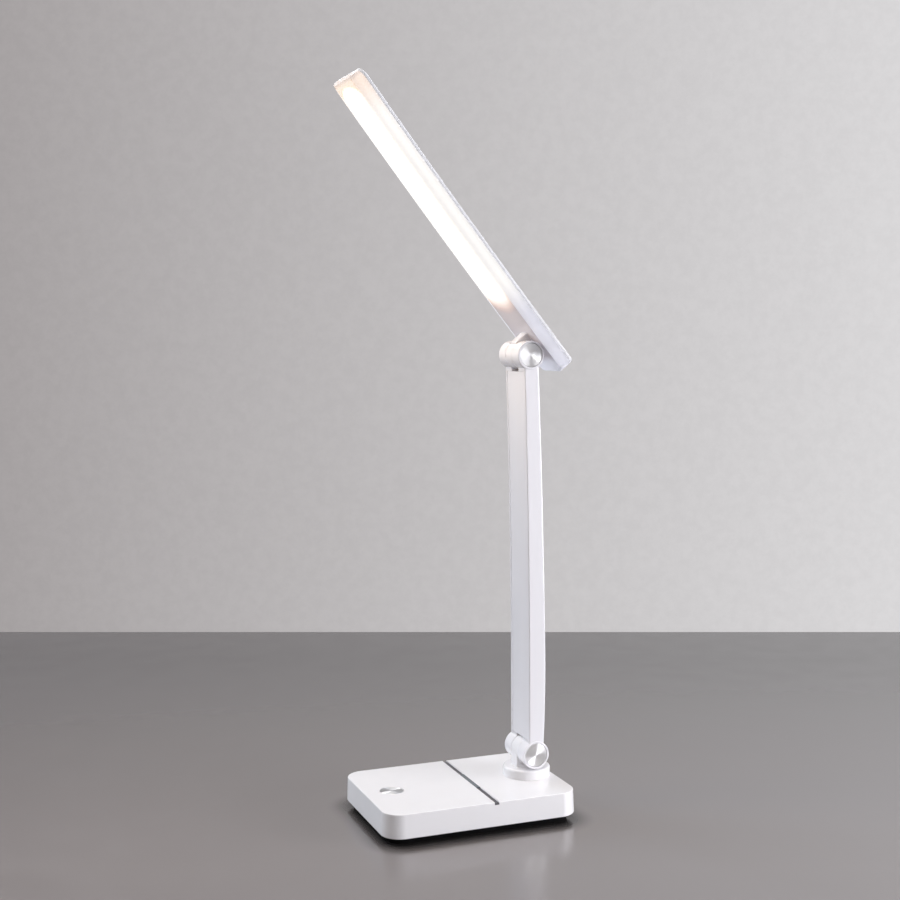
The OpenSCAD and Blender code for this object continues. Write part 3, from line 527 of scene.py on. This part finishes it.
# ------------------------------------------------------------------ turntable
prof = [(DISC_R - 0.15, DISC_Z0 - 0.1), (DISC_R, DISC_Z0 + 0.05)]
prof += fillet(DISC_R, DISC_Z1, 1.5, 1, 7)
table = piece("turntable_body", *turned(prof, 128, "Z", (PIVOT_X, 0, 0)), M["white"], None)
web = loft([[(PIVOT_X + x, y, z) for x, y in round_rect(2 * BARREL_R, KNUCKLE, 0.9, 5)]
            for z in (DISC_Z1 - 1, HINGE_Z)])
knuckle_prof = [(r, -h) for r, h in fillet(BARREL_R, KNUCKLE / 2, 0.35)][::-1]
knuckle_prof += fillet(BARREL_R, KNUCKLE / 2, 0.35)
combine(table, cutter(*web), "UNION")
combine(table, cutter(*turned(knuckle_prof, 128, "Y", (PIVOT_X, 0, HINGE_Z))), "UNION")
combine(table, cutter(*turned([(2.55, -9), (2.55, 9)], 48, "Y", (PIVOT_X, 0, HINGE_Z))))
spigot = turned([(4.9, 12.2), (4.9, DISC_Z0 + 0.5)], 64, "Z", (PIVOT_X, 0, 0))
combine(table, cutter(*spigot), "UNION")
smooth(table)
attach(table, "turntable")
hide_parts("turntable")
soften(table, 0.3, 50)

# ------------------------------------------------------------------ arm
FRONT, HOLLOW, BACK, KNEE, KNEE_AT = 4.5, 1.1, 5.2, 2.5, 0.28
COVER_LOW, COVER_HIGH, COVER_T, SINK = 9.0, 9.9, 1.6, 0.1
WEB_DEPTH, NECK_DEPTH = 9.6, 10.1


def front_x(z):
    return -FRONT + HOLLOW * math.sin(math.pi * z / ARM_L)


def back_x(z):
    t = z / ARM_L
    k = t / KNEE_AT if t < KNEE_AT else (1 - t) / (1 - KNEE_AT)
    return BACK + KNEE * math.sin(math.pi / 2 * max(k, 0) ** 0.85)


def stations(z0, z1, n):
    return [z0 + (z1 - z0) * i / n for i in range(n + 1)]


def arm_ring(z, half, f, b, rf, rb):
    """Cross-section of the arm: faces moved in by f and b, front and back corner radii."""
    x0, x1 = front_x(z) + f, back_x(z) - b
    pts = arc(x0 + rf, -half + rf, rf, 180, 270, 5) + arc(x1 - rb, -half + rb, rb, 270, 360, 6)
    pts += arc(x1 - rb, half - rb, rb, 0, 90, 6) + arc(x0 + rf, half - rf, rf, 90, 180, 5)
    return [(x, y, z) for x, y in pts]


channel = piece("channel", *loft([arm_ring(z, ARM_W / 2, 0, 0, 0.7, 1.3)
                                  for z in stations(0, ARM_L, 60)]), M["arm"], None, at=ARM)
ear = [(BARREL_R, EAR_IN)] + fillet(BARREL_R, EAR_OUT, 0.5)
for z in (0, ARM_L):
    for s in (-1, 1):
        v, f = turned([(r, s * h) for r, h in ear], 128, "Y", (0, 0, z))
        combine(channel, cutter(v, f, ARM), "UNION")
half = ARM_W / 2 - 2 - 1
combine(channel, cutter(*loft([[(front_x(z) + COVER_T, -half, z), (back_x(z) - 2, -half, z),
                                (back_x(z) - 2, half, z), (front_x(z) + COVER_T, half, z)]
                               for z in stations(COVER_LOW + 2.4, ARM_L - COVER_HIGH - 2.4, 50)]),
                        ARM))
half = ARM_W / 2 - 2
combine(channel, cutter(*loft([[(front_x(z) - 1, -half, z), (front_x(z) + COVER_T + SINK, -half, z),
                                (front_x(z) + COVER_T + SINK, half, z), (front_x(z) - 1, half, z)]
                               for z in stations(COVER_LOW, ARM_L - COVER_HIGH, 50)]), ARM))


def cut_slots(ob):
    for z, d, depth in ((0, 1, WEB_DEPTH), (ARM_L, -1, NECK_DEPTH)):
        combine(ob, cutter(*turned([(9.2, -EAR_IN), (9.2, EAR_IN)], 128, "Y", (0, 0, z)), ARM))
        combine(ob, cutter(*block(-17, 17, -EAR_IN, EAR_IN, *sorted((z, z - d * 17))), ARM))
        combine(ob, cutter(*block(-17, 0, -EAR_IN, EAR_IN, *sorted((z - d * 0.2, z + d * depth))),
                           ARM))


cut_slots(channel)
for z in (0, ARM_L):
    combine(channel, cutter(*turned([(2.5, -16), (2.5, 16)], 48, "Y", (0, 0, z)), ARM))
    for s in (-1, 1):
        ends = sorted((s * CAP_SEAT, s * 16))
        combine(channel, cutter(*turned([(CAP_R + 0.12, h) for h in ends], 96, "Y", (0, 0, z)),
                                ARM))
smooth(channel)
channel.name = "channel"
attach(channel, "arm")
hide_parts("arm_channel")
soften(channel, 0.22, 42)

half = ARM_W / 2 - 2 - 0.05
cover = piece("front_cover", *loft([arm_ring(z, half, SINK, back_x(z) - front_x(z) - SINK - COVER_T,
                                             0.4, 0.2)
                                    for z in stations(COVER_LOW + 0.15, ARM_L - COVER_HIGH - 0.15,
                                                      60)]), M["arm"], None, at=ARM)
cut_slots(cover)
smooth(cover)
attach(cover, "arm")
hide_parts("arm_cover")

cap_prof = [(CAP_R - 0.1, 0.0), (CAP_R, 0.1)] + fillet(CAP_R, CAP_T, 0.45)
for where, at in (("lower", ARM), ("upper", TOP)):
    for s, side in ((-1, "front"), (1, "rear")):
        v, f = turned([(r, s * (CAP_SEAT + h)) for r, h in cap_prof], 96)
        piece(f"{where}_spun_cap_{side}", v, f, M["cap"], "arm", (f"{where}_cap_{side}",),
              "spun_aluminium", at, 50)

# ------------------------------------------------------------------ light panel
TIP_R, HEEL_R = 7.0, 4.2
SLANT, HEEL_FLAT = 5.9, 10.0


def bow(x):
    """The panel bends a little: its ends stand further from the hinge than its middle."""
    t = (x + REACH) / (REACH + HEEL) * 2 - 1
    return BOW * (2 * t * t - 1)


def panel_side(i, n=30):
    """One long side of the panel's outline, moved in by i, from tip to heel, as (x, y). The
    hinge end has long slanting corners."""
    rt, rh, h = max(TIP_R - i, 0.4), max(HEEL_R - i, 0.4), HEAD_W / 2 - i
    x0, x1 = -REACH + i, HEEL - i
    run, drop = SLANT, HEAD_W / 2 - HEEL_FLAT
    c, s = run / math.hypot(run, drop), drop / math.hypot(run, drop)
    turn = math.degrees(math.acos(c))
    side_x = HEEL - run - i * (1 - c) / s
    end_y = HEEL_FLAT - i * (1 - s) / c
    ax = side_x - rh * (1 - c) / s
    pts = arc(x0 + rt, h - rt, rt, 180, 90, 8)
    pts += [(x0 + rt + (ax - x0 - rt) * k / n, h) for k in range(1, n)]
    pts += arc(ax, h - rh, rh, 90, 90 - turn, 8)
    px, py = pts[-1]
    pts += [(px + (x1 - px) * k / 8, py + (end_y - py) * k / 8) for k in range(1, 9)]
    return pts + [(x1, end_y * k / 4) for k in (3, 2, 1)]


def panel_ring(i, o):
    """Closed ring round the panel at inset i and height o above the hinge, bowed."""
    side = panel_side(i)
    return ([(x, y, o + bow(x)) for x, y in side]
            + [(x, -y, o + bow(x)) for x, y in side[::-1]])


def strip_cap(start, n):
    """Quads across a ring whose first half mirrors its second half."""
    return [(start + j, start + j + 1, start + n - 2 - j, start + n - 1 - j)
            for j in range(n // 2 - 1)]


def panel_shell(rings):
    n = len(rings[0])
    v, f = loft(rings)
    f = f[:-2]
    return v, f + strip_cap(0, n) + strip_cap((len(rings) - 1) * n, n)


steps = [(0.35 - 0.35 * math.cos(math.radians(22.5 * k)), 0.35 * math.sin(math.radians(22.5 * k)))
         for k in range(5)]
e = 0.9
rings = [panel_ring(1.2, BACK_O - 1.2), panel_ring(1.2, RIM_O), panel_ring(0.3, RIM_O)]
rings += [panel_ring(0.3 - 0.3 * math.sin(math.radians(22.5 * k)),
                     RIM_O + 0.3 - 0.3 * math.cos(math.radians(22.5 * k))) for k in range(1, 5)]
rings += [panel_ring(e - e * math.cos(math.radians(15 * k)),
                     BACK_O - e + e * math.sin(math.radians(15 * k))) for k in range(7)]
piece("panel_back", *panel_shell(rings), M["shell"], "head", ("head_housing",), "white_gloss",
      HEAD)


def flat_half(x, edge_y):
    """Half width of the diffuser's flat middle, which narrows towards the hinge end."""
    t = max(0.0, min(1.0, (x - 9) / (HEEL - 9)))
    return min(HEEL_FLAT + (FLAT - HEEL_FLAT) * math.sqrt(1 - t * t), edge_y - 0.25)


def lens_height(x, y, edge_y):
    """Height of the diffuser's face: flat in the middle, rising to the rim at the edges."""
    a, f = abs(y), flat_half(x, edge_y)
    w = max(edge_y - f, 0.25)
    k = max(0.0, min(1.0, (a - f) / w))
    b = min(0.8, w / 3)
    if abs(a - f) < b:
        k = (a - f + b) ** 2 / (4 * b * w)
    e = max(0.0, 1 - (x + REACH - LENS_IN) / TAPER, 1 - (HEEL - LENS_IN - x) / TAPER)
    k = max(k, e ** 1.6)
    return FLAT_O + (RIM_O - 0.05 - FLAT_O) * k


verts, faces, uvs = [], [], {}
rows = [p for p in panel_side(LENS_IN, 60) if p[1] > HEEL_FLAT - 1.5 or p[0] < 0]
cols = [0.0, 0.35, 0.7, 0.93]
cols_out = [0.08, 0.3, 0.6, 0.85, 1.0]
grid = []
for x, y in rows:
    flat = flat_half(x, y)
    b = min(0.8, max(y - flat, 0.25) / 3)
    f = min(flat - b, y * 0.9)
    ys = [f * c for c in cols] + [f]
    g = min(flat + b, y * 0.97)
    ys += [f + (g - f) * c for c in (0.5,)] + [g] + [g + (y - g) * c for c in cols_out]
    ys = [-v for v in ys[:0:-1]] + ys
    grid.append([(x, v, lens_height(x, v, y) + bow(x)) for v in ys])
# the face, its rim, and a plain back just inside the housing
m = len(grid[0])
for row in grid:
    verts += row
for i in range(len(grid) - 1):
    for j in range(m - 1):
        a = i * m + j
        faces.append((a, a + 1, a + m + 1, a + m))
lip = len(verts)
for row in grid:
    verts += [(x, y, RIM_O + 0.45 + bow(x)) for x, y, o in row]
for i in range(len(grid) - 1):
    for j in range(m - 1):
        a = lip + i * m + j
        faces.append((a, a + m, a + m + 1, a + 1))
edge = [i * m for i in range(len(grid))] + [(len(grid) - 1) * m + j for j in range(1, m)]
edge += [i * m + m - 1 for i in range(len(grid) - 2, -1, -1)] + [j for j in range(m - 2, 0, -1)]
for a, b in zip(edge, edge[1:] + edge[:1]):
    faces.append((a, b, b + lip, a + lip))
lens = piece("diffuser", verts, faces, M["diffuser"], "head", ("head_diffuser",),
             "diffuser_milk", HEAD, 30, uv=lambda p: (-p.x / 100, p.y / 100))

# ------------------------------------------------------------------ neck
NECK_F, NECK_B, PAD_O = 9.7, 6.0, 12.5
neck = piece("neck", *turned(knuckle_prof, 128), M["arm"], None, at=HEAD)
tab = loft([[(x + (NECK_B - NECK_F) / 2, y, o)
             for x, y in round_rect(NECK_F + NECK_B, KNUCKLE, 0.8, 5)] for o in (0, PAD_O)])
combine(neck, cutter(*tab, HEAD), "UNION")
combine(neck, cutter(*turned([(2.55, -9), (2.55, 9)], 48), HEAD))
smooth(neck)
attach(neck, "head")
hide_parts("head_neck")
soften(neck, 0.3, 50)

# ------------------------------------------------------------------ floor, wall and light
AHEAD = Vector((FWD.x, FWD.y, 0)).normalized()
EDGE_PX = 632
ray = FWD + UP * ((450 - EDGE_PX) / FOCAL_PX)
reach = CAM.z / -ray.z * Vector((ray.x, ray.y)).length


def stage_plane(name, corners, mat):
    me = bpy.data.meshes.new(name)
    me.from_pydata(corners, [], [(0, 1, 2, 3)])
    ob = bpy.data.objects.new(name, me)
    scene.collection.objects.link(ob)
    me.materials.append(mat)
    return ob


def across_scene(t, at_right, at_fwd=0.0, lift=0.0):
    """Dot product of the place in the world with the camera's ground axes, in metres."""
    g = t.add("NewGeometry")
    d = t.add("VectorMath", operation="DOT_PRODUCT")
    t.links.new(g.outputs["Position"], d.inputs[0])
    d.inputs[1].default_value = (RIGHT.x * at_right + AHEAD.x * at_fwd,
                                 RIGHT.y * at_right + AHEAD.y * at_fwd, lift)
    return d.outputs["Value"]


def beside_base(t):
    """Distance from the outline of the base, in metres."""
    corner = 0.0125
    g = t.add("NewGeometry")
    s = t.add("SeparateXYZ")
    t.links.new(g.outputs["Position"], s.inputs[0])
    out = []
    for half, sock in ((0.060, s.outputs[0]), (0.044, s.outputs[1])):
        out.append(t.math("MAXIMUM", t.math("SUBTRACT", t.math("ABSOLUTE", sock),
                                            half - corner), 0.0))
    square = t.math("ADD", t.math("POWER", out[0], 2.0), t.math("POWER", out[1], 2.0))
    return t.math("SUBTRACT", t.math("SQRT", square), corner)


t = Tree("floor satin")
# painted light: the floor's colour is paler to the right, where the lamps fall on it
side = across_scene(t, 1)
col = t.mix(t.remap(side, -0.45, 0.5), (0.15, 0.132, 0.128), (0.2, 0.185, 0.183))
col = t.mix(t.math("MULTIPLY", t.noise(5, 5, 0.6), 0.12), col, (0.23, 0.22, 0.22))
# painted light: the floor's colour is brighter near the front and darker further back
col = t.mix(1.0, col, t.remap(across_scene(t, 0, 1), -0.09, 0.41, 1.28, 0.6, False), "MULTIPLY")
# painted shadow: the floor's colour darkens close round the outline of the base, a contact shadow
col = t.mix(1.0, col, t.remap(beside_base(t), -0.003, 0.0165, 0.15, 1.0), "MULTIPLY")
t.principled(Base_Color=col, Roughness=t.remap(t.noise(30, 4), 0.3, 0.7, 0.15, 0.21),
             Specular_IOR_Level=1.0,
             Normal=t.bump(t.noise(700, 3), 0.06, 0.0002))
g0 = Vector((CAM.x, CAM.y, 0))
far, near, wide = g0 + AHEAD * reach, g0 - AHEAD * 4.0, 5.0
floor = stage_plane("floor", [near - RIGHT * wide, near + RIGHT * wide, far + RIGHT * wide,
                              far - RIGHT * wide], t.mat)

t = Tree("wall plaster")
# the wall glows with painted light, darker to the left and brighter to the right; only camera,
# glossy and transmission rays see it, so it lights nothing
side = across_scene(t, 1)
wall_painted_light = t.mix(t.remap(side, -1.35, 1.25, smooth=False), (0.30, 0.275, 0.275), (0.76, 0.75, 0.76))
wall_painted_light = t.mix(t.remap(t.noise(16, 6, 0.7), 0.35, 0.7), shade((0.97,) * 3, 1), (1.02,) * 3) \
    if False else wall_painted_light
grit = t.remap(t.noise(45, 6, 0.7), 0.3, 0.7, 0.975, 1.025)
em = t.add("Emission")
t.links.new(wall_painted_light, em.inputs[0])
t.links.new(grit, em.inputs[1])
tr = t.add("BsdfTransparent")
lp = t.add("LightPath")
see = t.math("MAXIMUM", lp.outputs["Is Camera Ray"],
             t.math("MAXIMUM", lp.outputs["Is Glossy Ray"], lp.outputs["Is Transmission Ray"]))
ms = t.add("MixShader")
t.links.new(see, ms.inputs[0])
t.links.new(tr.outputs[0], ms.inputs[1])
t.links.new(em.outputs[0], ms.inputs[2])
t.links.new(ms.outputs[0], t.out.inputs[0])
w0 = g0 + AHEAD * 2.7
wall = stage_plane("wall", [w0 - RIGHT * 6 - Vector((0, 0, 2)), w0 + RIGHT * 6 - Vector((0, 0, 2)),
                            w0 + RIGHT * 6 + Vector((0, 0, 5)), w0 - RIGHT * 6 + Vector((0, 0, 5))],
                   t.mat)

world = bpy.data.worlds.new("studio")
scene.world = world
world.use_nodes = True
wt = world.node_tree
wt.nodes.clear()
wo = wt.nodes.new("ShaderNodeOutputWorld")
bg = wt.nodes.new("ShaderNodeBackground")
bg2 = wt.nodes.new("ShaderNodeBackground")
mx = wt.nodes.new("ShaderNodeMixShader")
lp = wt.nodes.new("ShaderNodeLightPath")
bg.inputs[0].default_value = (0.93, 0.95, 1.0, 1)
bg.inputs[1].default_value = 0.28
bg2.inputs[0].default_value = (0.62, 0.605, 0.61, 1)
seen = lp.outputs["Is Camera Ray"]
for kind in ("Is Glossy Ray", "Is Transmission Ray"):
    either = wt.nodes.new("ShaderNodeMath")
    either.operation = "MAXIMUM"
    wt.links.new(seen, either.inputs[0])
    wt.links.new(lp.outputs[kind], either.inputs[1])
    seen = either.outputs[0]
wt.links.new(seen, mx.inputs[0])
wt.links.new(bg.outputs[0], mx.inputs[1])
wt.links.new(bg2.outputs[0], mx.inputs[2])
wt.links.new(mx.outputs[0], wo.inputs[0])


def soft_light(name, at, target, size, power, color=(1, 1, 1)):
    d = bpy.data.lights.new(name, "AREA")
    d.shape, d.size, d.size_y = "RECTANGLE", size[0], size[1]
    d.energy, d.color = power, color
    o = bpy.data.objects.new(name, d)
    o.location = at
    o.rotation_mode = "QUATERNION"
    o.rotation_quaternion = (Vector(target) - Vector(at)).to_track_quat("-Z", "Y")
    scene.collection.objects.link(o)
    return o


soft_light("overhead", (-0.14, -0.1, 1.5), (0, 0, 0.1), (1.6, 1.5), 13.4, (1.0, 0.97, 0.955))
low = soft_light("right low", (0.92, -0.70, 0.21), (0.04, 0, 0.12), (0.6, 0.42), 13.0,
                 (0.955, 0.96, 1.0))
left = soft_light("left box", (-0.85, 1.15, 0.6), (0, 0, 0.2), (0.8, 1.1), 17.6, (0.74, 0.865, 1.0))
warm = soft_light("warm fill", (-0.30, 0.1, 0.45), (0.03, 0, 0.25), (0.12, 0.12), 0.3,
                  (1.0, 0.74, 0.48))
near = soft_light("panel fill", (-0.005, 0, 0.322), (0.038, 0, 0.262), (0.05, 0.05), 0.0048,
                  (1.0, 0.79, 0.56))
near.data.spread = 1.3
near.visible_camera = False
tall = soft_light("right box", (0.92, -0.68, 0.34), (0.04, 0, 0.12), (0.6, 1.1), 15,
                  (0.955, 0.955, 1.0))
back = soft_light("back window", (-0.3, 1.15, 1.15), (0, 0, 0.15), (0.7, 0.5), 8,
                  (1.0, 0.98, 0.97))
for lamp in (low, left, warm, near):
    lamp.visible_glossy = False
for lamp in (tall, back):
    lamp.visible_diffuse = False
